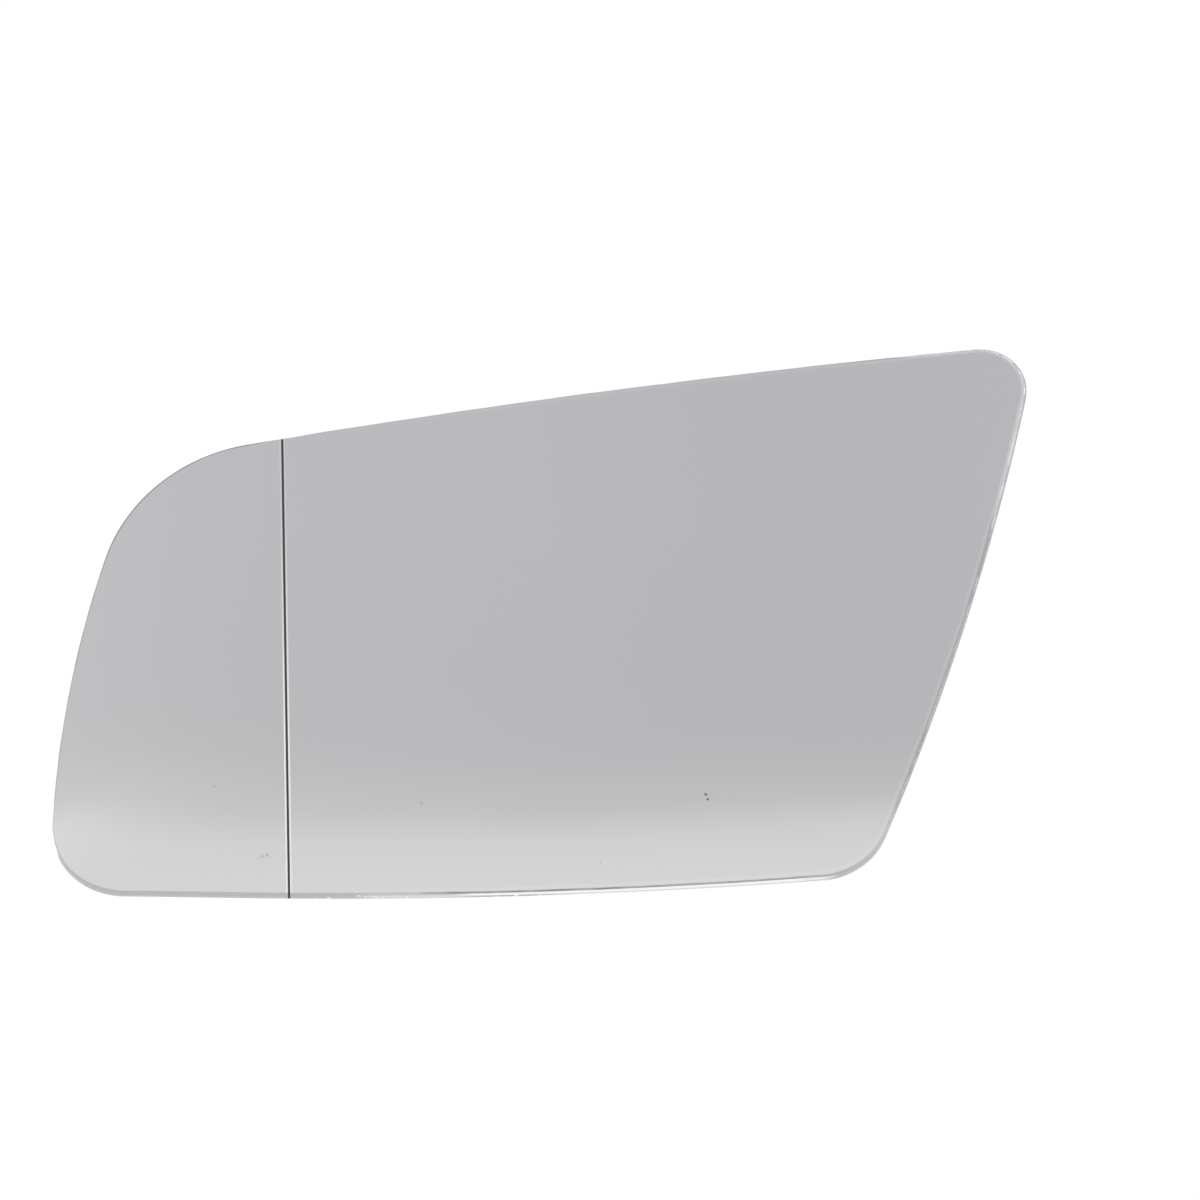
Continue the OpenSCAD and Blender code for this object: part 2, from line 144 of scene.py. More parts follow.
class StudioSettings(bpy.types.PropertyGroup):
    """The camera, the floor and the light."""
    elevation: bpy.props.FloatProperty(
        name="Elevation", description="The camera's height angle",
        default=math.radians(-28), subtype="ANGLE")
    distance: bpy.props.FloatProperty(
        name="Distance", description="Camera to mirror", default=8.0, unit="LENGTH")
    frame_width: bpy.props.FloatProperty(
        name="Frame width", description="Width that the picture takes in",
        default=0.20915, unit="LENGTH")
    aim_right: bpy.props.FloatProperty(
        name="Aim right", description="Picture's middle, right of the face's middle",
        default=0.0109, unit="LENGTH")
    aim_up: bpy.props.FloatProperty(
        name="Aim up", description="Picture's middle, above the face's middle",
        default=0.00426, unit="LENGTH")
    floor_z: bpy.props.FloatProperty(
        name="Floor", description="Height of the floor", default=-8.6, unit="LENGTH")
    ambient: bpy.props.FloatProperty(
        name="Ambient", description="Strength of the even light", default=0.72)


# Where the glass's finishes and their painted light and shade change: the start and the end of
# each step, in metres from the ring's axis, X across and Z up
INNER_END_X = (0.050, 0.058)
INNER_TOP_X, INNER_TOP_Z = (0.062, 0.066), (0.020, 0.026)
LOW_Z = (-0.040, -0.030)
OUTER_TOP_X, OUTER_TOP_Z = (-0.050, -0.040), (0.010, 0.020)
PALE_ARRIS_X, PALEST_ARRIS_X, INNER_ARRIS_X = (-0.022, -0.016), (-0.034, -0.026), (0.042, 0.050)
CORNER_CHIPS_X, CORNER_CHIPS_Z = (0.064, 0.070), (0.044, 0.050)
GREEN_EDGE_X, WHITE_EDGE_X, GREY_EDGE_X = (-0.034, -0.028), (-0.016, -0.008), (0.046, 0.052)
EDGE_CHIPS_X, EDGE_CHIPS_END_X, SEAM_END_X = (-0.042, -0.036), (0.0, 0.010), (-0.002, 0.006)
PLAIN_WALL_TOP_Z = (0.040, 0.050)

# The face near its arris, in metres inside it, where painted light goes into its colour: the thin
# painted shade, where the pale band of painted highlight ends and starts, and the band at the
# inner top. Along X the paleness fades in. The strengths are those of the painted shade, what it
# loses low down, the band, what the inner side adds, and the paleness.
RIM_SHADE, RIM_BAND_END, RIM_BAND_START = (0.00005, 0.0003), (0.0005, 0.001), (0.0001, 0.0004)
RIM_TOP_BAND, RIM_FADE_X = (0.0002, 0.0006), (-0.05, 0.0)
SHADE_DEEP, SHADE_LOSS_LOW, BAND_EVEN, BAND_INNER = 0.24, 0.16, 0.35, 0.2
BAND_PALE, TOP_PALE = 0.14, 0.2

# Width of the face's arris in shares of its named one: everywhere, what the inner side adds,
# what that side adds high up, what the bottom and the two upper corners add, and its waver;
# then where the outline counts as high up, and as one of the corners
ARRIS_EVEN, ARRIS_INNER, ARRIS_HIGH, ARRIS_BELOW = 0.45, 0.45, 0.9, 0.5
ARRIS_INNER_CORNER, ARRIS_OUTER_CORNER, ARRIS_WAVER = 0.9, 0.8, 0.4
ARRIS_HIGH_Z, ARRIS_OUTER_UP = (0, 0.03), (0, 0.5)
ARRIS_INNER_X, ARRIS_OUTER_X = (0.062, 0.070), (-0.04, -0.05)

# Bands of the polished edge from its front at 0 to its back at 1, painted highlights and painted
# shade for how it catches the light: place, red, green, blue
GREY_BANDS = ((0.1, 0.47, 0.50, 0.48), (0.45, 0.47, 0.51, 0.49), (0.7, 0.54, 0.57, 0.56),
              (0.95, 0.50, 0.52, 0.51))
GREEN_BANDS = ((0.12, 0.52, 0.56, 0.53), (0.25, 0.60, 0.66, 0.62), (0.45, 0.70, 0.77, 0.73),
               (0.62, 0.74, 0.79, 0.76), (0.8, 0.64, 0.68, 0.66))
WHITE_BANDS = ((0.1, 0.38, 0.40, 0.38), (0.18, 0.96, 0.96, 0.95), (0.56, 0.99, 0.99, 0.98),
               (0.68, 0.58, 0.61, 0.59), (0.82, 0.97, 0.97, 0.97))

# The clear part of the edge: place and share of the glass's own colour, then bands as above
CLEAR_SHARES = ((0.1, 0.1), (0.40, 0.14), (0.46, 0.9), (0.64, 1.0))
CLEAR_BANDS = ((0.74, 0.30, 0.37, 0.39), (0.95, 0.42, 0.48, 0.5))

# The seam across the edge's depth, and how much it darkens; how far noise bends the bands
SEAM_START, SEAM_END, SEAM_DARK = (0.54, 0.62), (0.78, 0.9), 0.4
BEND_DEPTH, BEND_ALONG = 0.18, 0.012

# Steps of the pane's outline on a corner and on a side, and its rings on each face
CORNER_STEPS, SIDE_STEPS, RINGS = 30, 100, 36

# The zone's line: its core and shoulders in shares of its width, where the zones meet beside
# it, and where its shoulders pale; roughness of the mirror, of the core and the marks, and of
# the shoulders; then the fixed colours of the glass, and the small marks
LINE_CORE, LINE_SHOULDER = (0.42, 0.6), (1.1, 1.4)
ZONE_STEP, SHOULDER_Z = (-0.0003, 0.0003), (-0.03, 0.03)
SMOOTH, CORE_ROUGH, SHOULDER_ROUGH = 0.02, 0.5, 0.3
LINE_DARK = (0.028, 0.028, 0.03, 1)
SHOULDER_LOW, SHOULDER_HIGH = (0.9, 0.9, 0.89, 1), (0.6, 0.6, 0.6, 1)
PLAIN_WALL = (0.3, 0.31, 0.31, 1)
CHIP, EDGE_CHIP = (0.95, 0.95, 0.93, 1), (0.97, 0.98, 0.96, 1)
OUTER_ZONE_BLUE = 0.991
MARK_COLOUR, MARK_COVER = (0.16, 0.16, 0.16, 1), 0.8
MARKS_MM = (
    # across, up, radius, darkness
    (29.28, -33.08, 0.31, 1.2), (29.64, -34.04, 0.31, 1.2), (-47.0, -44.55, 0.3, 0.5),
    (-47.7, -44.85, 0.28, 0.35), (-48.3, -45.05, 0.22, 0.3), (-20.13, -34.93, 0.32, 0.45),
    (-56.15, -31.08, 0.28, 0.35), (11.05, -46.27, 0.28, 0.2), (60.3, -27.35, 0.28, 0.3))

# The room that the mirror shows: place on a scale of height, red, green, blue
ROOM = (
    (0.397, 0.980, 0.982, 0.972), (0.403, 0.973, 0.973, 0.965), (0.4075, 0.945, 0.955, 0.942),
    (0.4105, 0.930, 0.937, 0.926), (0.413, 0.907, 0.909, 0.901), (0.4155, 0.834, 0.835, 0.829),
    (0.419, 0.789, 0.788, 0.788), (0.4235, 0.765, 0.763, 0.768), (0.430, 0.735, 0.733, 0.746),
    (0.4375, 0.718, 0.720, 0.732), (0.455, 0.714, 0.716, 0.735), (0.490, 0.727, 0.722, 0.755),
    (0.535, 0.725, 0.715, 0.753))

# How the room's heights shift and its tones brighten away from the middle: to the left and to
# the right, each by a share of the distance across and of its square
LOW_SHIFT, HIGH_SHIFT = (-0.0077, 0.0992, 0.0344, 0.619), (0.0745, -0.170, 0.1354, -0.798)
BRIGHTER = (0.341, 0, -0.8885, 6.30)
SHIFT_Z, BRIGHTER_Z = (0.412, 0.430), (0.402, 0.42)

# How far the floor reaches to each side, and the soft lamps: name, place, width and power
FLOOR_REACH = 40.0
LAMPS = (("right_box", (1.5, -1.3, 0.45), 1.1, 13), ("left_box", (-1.6, -0.9, 0.9), 1.2, 6),
         ("back_box", (-0.5, 1.7, 1.3), 1.2, 12))


# Shader tools

class Signal:
    """A number in a shader. Arithmetic on it adds the Math nodes."""

    def __init__(self, shader, socket):
        self.shader = shader
        self.socket = socket

    def _math(self, operation, first, second=None):
        inputs = {0: first} if second is None else {0: first, 1: second}
        return self.shader.number("ShaderNodeMath", {"operation": operation}, inputs)

    def __add__(self, other):
        return self._math("ADD", self, other)

    __radd__ = __add__

    def __mul__(self, other):
        return self._math("MULTIPLY", self, other)

    def __sub__(self, other):
        return self._math("SUBTRACT", self, other)

    def __rsub__(self, other):
        return self._math("SUBTRACT", other, self)

    def __abs__(self):
        return self._math("ABSOLUTE", self)

    def higher_of(self, other):
        return self._math("MAXIMUM", self, other)

    def rises(self, start, end):
        """0 below start and 1 above end, with a smooth step between."""
        return self.shader.number("ShaderNodeMapRange", {"interpolation_type": "SMOOTHSTEP"},
                                  {"Value": self, "From Min": start, "From Max": end})

    def falls(self, start, end):
        """1 below start and 0 above end, with a smooth step between."""
        return 1 - self.rises(start, end)


class Shader:
    """A node tree being built, for a material or the world."""

    def __init__(self, tree):
        self.tree = tree

    def node(self, kind, settings=None, inputs=None):
        """Adds one node: first its settings, then the values or links of its sockets."""
        made = self.tree.nodes.new(kind)
        for name, value in (settings or {}).items():
            setattr(made, name, value)
        for name, value in (inputs or {}).items():
            self.feed(made.inputs[name], value)
        return made

    def feed(self, socket, value):
        if isinstance(value, Signal):
            value = value.socket
        if isinstance(value, bpy.types.NodeSocket):
            self.tree.links.new(value, socket)
        else:
            socket.default_value = value

    def number(self, kind, settings=None, inputs=None, output=0):
        return Signal(self, self.node(kind, settings, inputs).outputs[output])

    def colour_mix(self, factor, first, second):
        made = self.node("ShaderNodeMix", {"data_type": "RGBA"})
        for socket, value in zip((made.inputs[0], made.inputs[6], made.inputs[7]),
                                 (factor, first, second)):
            self.feed(socket, value)
        return made.outputs[2]

    def noise(self, place, size, detail=2.0, roughness=0.5):
        """Noise whose blotches are about that size in metres."""
        return self.number("ShaderNodeTexNoise", None, {
            "Vector": place, "Scale": 1 / size, "Detail": detail, "Roughness": roughness})

    def specks(self, place, size, share):
        """Sparse round specks: 1 inside, each a cell's point, on about that share of the cells."""
        cells = self.node("ShaderNodeTexVoronoi", None, {"Vector": place, "Scale": 1 / size})
        colours = self.node("ShaderNodeSeparateColor", None, {"Color": cells.outputs["Color"]})
        chance = Signal(self, colours.outputs["Red"])
        largest, soft = 0.12, 0.04
        radius = chance.falls(0, share) * largest
        inside = (Signal(self, cells.outputs["Distance"]) - radius).falls(-soft, soft)
        return inside * chance.falls(share, share + 0.01)

    def scaled(self, colour, factor):
        """A colour, or a socket that gives one, times a number."""
        return self.node("ShaderNodeVectorMath", {"operation": "SCALE"},
                         {0: colour, "Scale": factor}).outputs[0]

    def ramp(self, stops, place):
        """A colour from stops, each a place, red, green and blue."""
        made = self.node("ShaderNodeValToRGB", None, {"Fac": place})
        elements = made.color_ramp.elements
        while len(elements) < len(stops):
            elements.new(0.5)
        for element, (position, *colour) in zip(elements, stops):
            element.position = position
            element.color = (*colour, 1)
        return made.outputs[0]


class Finish(Shader):
    """A material with one principled shader. Constants go on its sockets, links over them."""

    def __init__(self, name, colour, **constants):
        self.material = bpy.data.materials.new(name)
        self.material.use_nodes = True
        super().__init__(self.material.node_tree)
        self.surface = next(n for n in self.tree.nodes if n.type == "BSDF_PRINCIPLED")
        self.surface.inputs["Base Color"].default_value = (*colour, 1)
        for label, value in constants.items():
            label = label.replace("_", " ").title().replace("Ior", "IOR")
            self.surface.inputs[label].default_value = value
        self.place = self.node("ShaderNodeTexCoord").outputs["Object"]
        axes = self.node("ShaderNodeSeparateXYZ", None, {"Vector": self.place})
        self.x, self.y, self.z = (Signal(self, s) for s in axes.outputs)

    def measure(self, name):
        """A number that the mesh carries at each point: "depth" is 0 at the face and 1 at the
        back, and "rim" is how far inside the arris a point lies."""
        return self.number("ShaderNodeAttribute", {"attribute_name": name}, None, "Fac")

    def drive(self, name, value):
        self.feed(self.surface.inputs[name], value)

    def bump(self, height, distance, strength=1.0, under=None):
        """Height, in shares of that distance in metres, bends the surface's normal, or the one
        that the node under it gives."""
        made = self.node("ShaderNodeBump", None,
                         {"Height": height, "Distance": distance, "Strength": strength})
        if under:
            self.feed(made.inputs["Normal"], under.outputs[0])
        self.drive("Normal", made.outputs["Normal"])


def tint(colour, factor):
    """A colour times a number, with alpha 1."""
    return (*(c * factor for c in colour), 1)


# Shapes

def outline_arcs(pane):
    """Centres, radii and angles of the glass outline's four bowed sides and four corner arcs.

    A side is a circle through two corner points, bowed outwards. A corner's circle lies inside
    both sides that meet there, so its centre is their radius less its own from each side's centre.
    """
    corner = np.array([pane.corners_x[:], pane.corners_z[:]]).T
    bow, small = np.array(pane.bows[:]), np.array(pane.rounds[:])
    chord = np.roll(corner, -1, 0) - corner
    length = np.linalg.norm(chord, axis=1)
    left = np.stack([-chord[:, 1], chord[:, 0]], 1) / length[:, None]
    side = corner + chord / 2 + left * np.sqrt(bow ** 2 - length ** 2 / 4)[:, None]
    before, bow_before = np.roll(side, 1, 0), np.roll(bow, 1)
    r1, r2 = bow_before - small, bow - small
    apart = side - before
    gap = np.linalg.norm(apart, axis=1)
    along = (r1 ** 2 - r2 ** 2 + gap ** 2) / (2 * gap)
    foot = before + apart * (along / gap)[:, None]
    reach = np.sqrt(r1 ** 2 - along ** 2) / gap
    across = np.stack([-apart[:, 1], apart[:, 0]], 1) * reach[:, None]
    one, other = foot + across, foot - across
    nearer = np.linalg.norm(one - corner, axis=1) < np.linalg.norm(other - corner, axis=1)
    centre = np.where(nearer[:, None], one, other)
    start = np.arctan2(*(centre - before).T[::-1])
    end = np.arctan2(*(centre - side).T[::-1])
    end = np.where(end < start, end + 2 * np.pi, end)
    return side, bow, centre, small, start, end


def outline(pane, corner_steps, side_steps):
    """Points round the outline with their outward normals, anticlockwise: on each corner arc and
    then on the side after it, a centre plus the radius times the cosine and sine of even angles."""
    side, bow, centre, small, start, end = outline_arcs(pane)
    after = np.roll(start, -1)
    after = np.where(after < end, after + 2 * np.pi, after)
    turn = start[:, None] + (end - start)[:, None] * np.arange(corner_steps) / corner_steps
    run = end[:, None] + (after - end)[:, None] * np.arange(side_steps) / side_steps
    angle = np.concatenate([turn, run], 1)
    normal = np.stack([np.cos(angle), np.sin(angle)], -1)
    middle = np.concatenate([np.repeat(centre[:, None], corner_steps, 1),
                             np.repeat(side[:, None], side_steps, 1)], 1)
    radius = np.concatenate([np.repeat(small[:, None], corner_steps, 1),
                             np.repeat(bow[:, None], side_steps, 1)], 1)
    return (middle + radius[..., None] * normal).reshape(-1, 2), normal.reshape(-1, 2)


def behind_face(pane, x, z, depth):
    """Y of the glass at x and z, at a depth behind its face: a circle of the bulge's radius
    turned about a level axis, less the fall across, a parabola with a cubic in the outer zone."""
    beyond = np.clip(-pane.zone_x - x, 0, None) / (-pane.corners_x[0] - pane.zone_x)
    fall = x ** 2 / (2 * pane.bulge) + pane.zone_drop * beyond ** 3
    return FACE_Y + pane.bulge - np.sqrt((pane.bulge - depth - fall) ** 2 - z ** 2)


def climb(value, start=0, end=1):
    """0 up to the start, 1 from the end on, and in a straight line between."""
    return np.clip((value - start) / (end - start), 0, 1)


def arris_share(line, normal):
    """Width of the face's arris round the outline, in shares of its named width. It grows with a
    power of the normal's part to the inner side, most of all high up, with the part downwards,
    and at both upper corners, and it wavers by products of sines."""
    around = np.linspace(0, 2 * np.pi, len(line), endpoint=False)
    wave = 0.25 * np.sin(23 * around) * np.sin(7 * around + 1) + 0.15 * np.sin(61 * around + 2)
    (x, z), (inner, up) = line.T, normal.T
    high = climb(z, *ARRIS_HIGH_Z)
    inner_side = (ARRIS_INNER + ARRIS_HIGH * high) * climb(inner) ** 1.5
    inner_corner = high * climb(x, *ARRIS_INNER_X) * climb(up)
    outer_corner = climb(up, *ARRIS_OUTER_UP) * climb(x, *ARRIS_OUTER_X)
    return (ARRIS_EVEN + inner_side + ARRIS_BELOW * climb(-up) + ARRIS_INNER_CORNER * inner_corner
            + ARRIS_OUTER_CORNER * outer_corner + ARRIS_WAVER * wave)


def closed_grid(name, rows, pole_before, pole_after, row_material, measures):
    """A closed skin of rings of points, rows first, with a pole point before and after them.
    A measure gives each point a number, and the poles the number of the ring beside them."""
    n_rows, n_round = rows.shape[:2]
    points = np.concatenate([rows.reshape(-1, 3), [pole_before], [pole_after]])
    ring = np.arange(n_round)
    after = (ring + 1) % n_round
    row = np.arange(n_rows - 1)[:, None] * n_round
    quads = np.stack([row + ring, row + n_round + ring, row + n_round + after, row + after], -1)
    last = (n_rows - 1) * n_round
    first_fan = np.stack([np.full(n_round, n_rows * n_round), ring, after], 1)
    last_fan = np.stack([np.full(n_round, n_rows * n_round + 1), last + after, last + ring], 1)
    mesh = bpy.data.meshes.new(name)
    faces = quads.reshape(-1, 4).tolist() + first_fan.tolist() + last_fan.tolist()
    mesh.from_pydata(points.tolist(), [], faces)
    row_material = np.asarray(row_material)
    index = np.concatenate([np.repeat(row_material, n_round),
                            np.full(n_round, row_material[0]), np.full(n_round, row_material[-1])])
    mesh.polygons.foreach_set("material_index", index.astype(np.int32))
    mesh.polygons.foreach_set("use_smooth", np.ones(len(index), bool))
    for label, values in measures.items():
        values = np.concatenate([values.ravel(), [values[0, 0], values[-1, 0]]]).astype(np.float32)
        mesh.attributes.new(label, "FLOAT", "POINT").data.foreach_set("value", values)
    mesh.update()
    return mesh


def add_piece(mesh, slot, materials, *nodes):
    """Puts a mesh in the scene as a piece of the body, in place of those solids."""
    piece = bpy.data.objects.new(mesh.name, mesh)
    bpy.context.scene.collection.objects.link(piece)
    for material in materials:
        mesh.materials.append(material)
    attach(piece, "root")
    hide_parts(*nodes)


def dress(node, material):
    """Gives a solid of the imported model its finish."""
    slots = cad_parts[node].data.materials
    slots.clear()
    slots.append(material)


# Finishes

def past_line(f, pane):
    """How far a point lies on the inner side of the zone's line."""
    return f.x + pane.zone_x + f.z * math.tan(pane.zone_lean)


def within(away, pane, shares):
    """1 on the zone's line, out to those shares of its width."""
    return away.falls(pane.line_width * shares[0], pane.line_width * shares[1])


def line_core(f, pane):
    """1 on the dark core of the zone's line."""
    return within(abs(past_line(f, pane)), pane, LINE_CORE)


def inner_end(f):
    """1 on the inner end of the glass."""
    return f.x.rises(*INNER_END_X)


def inner_top(f):
    """1 on the upper part of the inner end."""
    return f.x.rises(*INNER_TOP_X) * f.z.rises(*INNER_TOP_Z)


def low_down(f):
    """1 along the bottom edge."""
    return f.z.falls(*LOW_Z)


def marks(f):
    """Darkness of the small marks: each is a disc, and noise bends its edge."""
    flat = f.node("ShaderNodeVectorMath", {"operation": "MULTIPLY"}, {0: f.place, 1: (1, 0, 1)})
    wobble = f.noise(f.place, 0.0003, detail=3.0) - 0.5
    dirt = 0
    for x, z, radius, dark in MARKS_MM:
        r = radius * MM
        off = f.node("ShaderNodeVectorMath", {"operation": "DISTANCE"},
                     {0: flat.outputs[0], 1: (x * MM, 0, z * MM)})
        spot = (Signal(f, off.outputs["Value"]) + wobble * (1.6 * r)).falls(r * 0.5, r * 1.2)
        dirt = (spot * dark).higher_of(dirt)
    return dirt * MARK_COVER


def painted_rim_light(f):
    """Painted light on the face near its arris, as a factor on its colour: a faint pale band of
    painted highlight inside it, wider at the inner top, that fades out to the outer end, and a thin
    line of painted shade on the rest of the inner end."""
    rim, inner, top, low = f.measure("rim"), inner_end(f), inner_top(f), low_down(f)
    # Painted shade: a thin dark line on the inner end, weaker low down
    shade = rim.falls(*RIM_SHADE) * (inner - top) * (SHADE_DEEP - low * SHADE_LOSS_LOW)
    # Painted highlight: a pale band inside the arris, stronger on the inner side and at the inner
    # top
    band = rim.falls(*RIM_BAND_END) * rim.rises(*RIM_BAND_START)
    band = band * (BAND_EVEN + inner * (1 - low) * BAND_INNER)
    painted_glow = band * BAND_PALE * (1 - top) + rim.falls(*RIM_TOP_BAND) * top * TOP_PALE
    return 1 - shade + painted_glow * f.x.rises(*RIM_FADE_X)


def mirror_finish(pane):
    """Bright coating, a shade warmer in the outer zone, with painted highlight and painted shade
    near its arris, small marks and the engraved line, whose ground shoulders are palest low down."""
    f = Finish("mirror coating", pane.mirror[:], metallic=1.0, roughness=SMOOTH)
    from_line = past_line(f, pane)
    red, green, blue = pane.mirror
    silver = f.colour_mix(from_line.rises(*ZONE_STEP), (red, green, blue * OUTER_ZONE_BLUE, 1),
                          (red, green, blue, 1))
    # The coating's colour is scaled by the painted highlight and painted shade near the arris
    silver = f.scaled(silver, painted_rim_light(f))
    away = abs(from_line)
    core = within(away, pane, LINE_CORE)
    shoulder = within(away, pane, LINE_SHOULDER) - core
    dirt = marks(f)
    pale = f.colour_mix(f.z.rises(*SHOULDER_Z), SHOULDER_LOW, SHOULDER_HIGH)
    colour = f.colour_mix(shoulder, silver, pale)
    colour = f.colour_mix(core, colour, LINE_DARK)
    dull = core.higher_of(dirt)
    f.drive("Base Color", f.colour_mix(dirt, colour, MARK_COLOUR))
    f.drive("Roughness", SMOOTH + dull * CORE_ROUGH + shoulder * SHOULDER_ROUGH)
    f.drive("Metallic", 1 - dull.higher_of(shoulder))
    return f.material


def arris_finish(pane):
    """Ground arris, its colour painted light: painted shade along it, painted highlights low down
    but for the middle of the bottom, darker painted shade at the outer top, and painted highlights
    high on the inner side but for its outer line, with white chips at the corner."""
    f = Finish("ground arris", pane.arris_painted_shade[:], roughness=0.3, specular_ior_level=0.5)
    low, top, depth = low_down(f), inner_top(f), f.measure("depth")
    patches = f.noise(f.place, 0.004, detail=4.0, roughness=0.6).rises(0.4, 0.62)
    # Painted shade and painted highlight: the arris's two tones, varied by noise patches, stand for
    # how light falls on it
    dark = f.colour_mix(patches, tint(pane.arris_painted_shade, 0.68), tint(pane.arris_painted_shade, 1.0))
    pale = f.colour_mix(patches, tint(pane.arris_painted_light, 0.8), tint(pane.arris_painted_light, 1.05))
    # Painted highlights low down, palest towards the outer side, and at the inner end below
    outer = f.colour_mix(f.x.rises(*PALEST_ARRIS_X), tint(pane.arris_painted_light, 1.08),
                         tint(pane.arris_painted_light, 1.2))
    colour = f.colour_mix(low * f.x.falls(*PALE_ARRIS_X), dark, outer)
    colour = f.colour_mix(low * f.x.rises(*INNER_ARRIS_X), colour, tint(pane.arris_painted_light, 0.9))
    outer_top = f.x.falls(*OUTER_TOP_X) * f.z.rises(*OUTER_TOP_Z)
    # Painted shade: darker at the outer top
    colour = f.colour_mix(outer_top, colour, tint(pane.arris_painted_shade, 0.45))
    # Painted highlight on the inner top, with painted shade on its back part
    colour = f.scaled(f.colour_mix(top, colour, pale), 1 - depth.rises(0.06, 0.1) * top * 0.35)
    chips = f.noise(f.place, 0.0011).rises(0.52, 0.56) * depth.falls(0.03, 0.07)
    chips = chips * f.x.rises(*CORNER_CHIPS_X) * f.z.rises(*CORNER_CHIPS_Z)
    colour = f.colour_mix(chips, colour, CHIP)
    f.drive("Base Color", f.colour_mix(line_core(f, pane), colour, LINE_DARK))
    f.bump(f.noise(f.place, 0.0003, detail=3.0), 0.00002, strength=0.5)
    return f.material


def edge_finish(pane):
    """Polished edge in bands from its front to its back. Along the bottom they are painted light,
    painted highlights and painted shade for how the edge catches the light from below: grey at
    both ends, then greenish, then white with a dark seam, with white chips. The inner side is
    plain grey, and elsewhere the glass's own blue green lies behind a dark front half."""
    f = Finish("ground edge", pane.glass[:], roughness=0.3, specular_ior_level=0.5)
    plain_depth, low = f.measure("depth"), low_down(f)
    depth = plain_depth + (f.noise(f.place, 0.0022, detail=4.0, roughness=0.6) - 0.5) * BEND_DEPTH
    along = f.x + (f.noise(f.place, 0.005, detail=3.0) - 0.5) * BEND_ALONG
    # The bands are painted light: painted highlights and painted shade for how the polished edge
    # catches the light from below
    grey = f.ramp(GREY_BANDS, depth)
    seam = plain_depth.rises(*SEAM_START) * plain_depth.falls(*SEAM_END)
    # Painted highlight: the white bands, darkened along a seam
    white = f.scaled(f.ramp(WHITE_BANDS, depth), 1 - seam * along.falls(*SEAM_END_X) * SEAM_DARK)
    own = [(place, *tint(pane.glass, share)[:3]) for place, share in CLEAR_SHARES]
    clear = f.ramp((*own, *CLEAR_BANDS), plain_depth)
    bottom = f.colour_mix(along.rises(*GREEN_EDGE_X), grey, f.ramp(GREEN_BANDS, depth))
    bottom = f.colour_mix(along.rises(*WHITE_EDGE_X), bottom, white)
    bottom = f.colour_mix(along.rises(*GREY_EDGE_X), bottom, grey)
    chips = f.noise(f.place, 0.0012).rises(0.63, 0.67) * depth.rises(0.2, 0.3)
    chips = chips * f.x.rises(*EDGE_CHIPS_X) * f.x.falls(*EDGE_CHIPS_END_X)
    bottom = f.colour_mix(chips, bottom, EDGE_CHIP)
    colour = f.colour_mix(inner_end(f) * f.z.falls(*PLAIN_WALL_TOP_Z), clear, PLAIN_WALL)
    colour = f.colour_mix(low, colour, bottom)
    f.drive("Base Color", f.colour_mix(line_core(f, pane) * low, colour, LINE_DARK))
    f.drive("Metallic", low * 0.92)
    f.bump(f.noise(f.place, 0.0003, detail=3.0), 0.00001, strength=0.4)
    return f.material


def back_coat_finish(pane):
    """Painted back of the glass, satin grey with faint clouds, palest along the edge and darker
    inwards: painted light, paler at the edge and painted shade from the plate close behind.
    """
    f = Finish("back coating", pane.back[:], roughness=0.35, specular_ior_level=0.5)
    clouds = f.noise(f.place, 0.012, detail=3.0)
    paint = f.colour_mix(clouds, tint(pane.back, 0.9), tint(pane.back, 1.1))
    # Painted light: paler at the edge, and painted shade inwards towards the plate
    edge = f.measure("rim").falls(0.0002, 0.0026)
    f.drive("Base Color", f.scaled(paint, 0.3 + edge * 0.85))
    return f.material


def plastic_finish(back):
    """Black moulding: fine grain, faint clouds, and sparse pale dust."""
    f = Finish("black moulding", back.plastic[:], specular_ior_level=0.25)
    clouds = f.noise(f.place, 0.014, detail=3.0, roughness=0.6)
    grain = f.noise(f.place, back.grain)
    dust = f.specks(f.place, 0.0011, 0.06)
    base = f.colour_mix(clouds, tint(back.plastic, 0.75), tint(back.plastic, 1.3))
    f.drive("Base Color", f.colour_mix(dust * 0.6, base, (0.3, 0.31, 0.31, 1)))
    f.drive("Roughness", 0.5 + clouds * 0.12 + grain * 0.08)
    softened = f.node("ShaderNodeBevel", {"samples": 6}, {"Radius": back.soften})
    f.bump(grain, 0.00003, strength=0.6, under=softened)
    return f.material


def film_finish(back):
    """Printed film: satin grey with a soft mottle."""
    f = Finish("heating film", back.film[:], roughness=0.42, specular_ior_level=0.4)
    mottle = f.noise(f.place, 0.004, detail=5.0, roughness=0.7).rises(0.3, 0.7)
    fine = f.noise(f.place, 0.0006)
    f.drive("Base Color", f.colour_mix(mottle * 0.7 + fine * 0.3,
                                       tint(back.film, 0.84), tint(back.film, 1.12)))
    f.bump(mottle, 0.00005, strength=0.5)
    return f.material


def conductor_finish(back):
    """Pale printed conductor, a little brighter and darker by turns."""
    f = Finish("conductor", back.conductor[:], metallic=0.15, roughness=0.38)
    mottle = f.noise(f.place, 0.003, detail=4.0, roughness=0.65).rises(0.3, 0.7)
    f.drive("Base Color", f.colour_mix(mottle, tint(back.conductor, 0.9),
                                       tint(back.conductor, 1.06)))
    f.bump(f.noise(f.place, 0.0004), 0.00002, strength=0.5)
    return f.material


def metal_finish(name, colour, rough):
    """Stamped metal: fine marks and a slight stain."""
    f = Finish(name, colour, metallic=1.0, roughness=rough)
    stain = f.noise(f.place, 0.0016, detail=4.0, roughness=0.6)
    f.drive("Base Color", f.colour_mix(stain, tint(colour, 0.82), tint(colour, 1.08)))
    f.drive("Roughness", rough + stain * 0.14)
    f.bump(f.noise(f.place, 0.00025), 0.000012, strength=0.5)
    return f.material


# Operators, one for each piece or group and one for the studio

